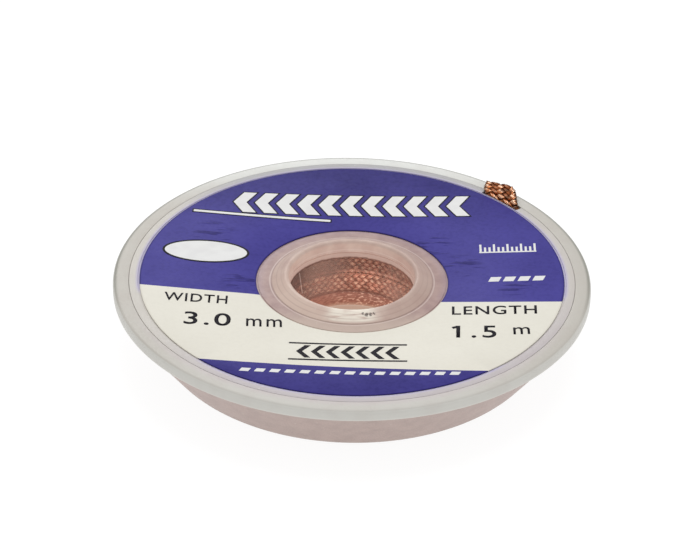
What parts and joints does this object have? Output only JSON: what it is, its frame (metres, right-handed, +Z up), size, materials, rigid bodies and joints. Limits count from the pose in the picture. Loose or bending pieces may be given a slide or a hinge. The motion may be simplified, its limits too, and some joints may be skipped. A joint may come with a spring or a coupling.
{
  "type": "desoldering braid in a round case",
  "caption": "Flat round translucent case with a flared rim, a dished lid with a printed label and a central bore; copper braid is wound inside and its free end comes out over the rim.",
  "frame": {"origin": "centre of the case's flat underside, at the lowest point, on the bore's axis", "axes": "+Z up, out of the lid, along the bore; -Y is the front, where the label reads the right way up; +X to the right"},
  "size_m": [0.052, 0.052, 0.0091],
  "materials": {
    "case_plastic": "frosted, translucent grey-white",
    "printed_label": "satin film, blue and cream print",
    "copper_braid": null
  },
  "bodies": {
    "root": {"case_dish": "case_plastic", "case_lid": "case_plastic", "label": "printed_label", "braid": "copper_braid"}
  },
  "joints": []
}
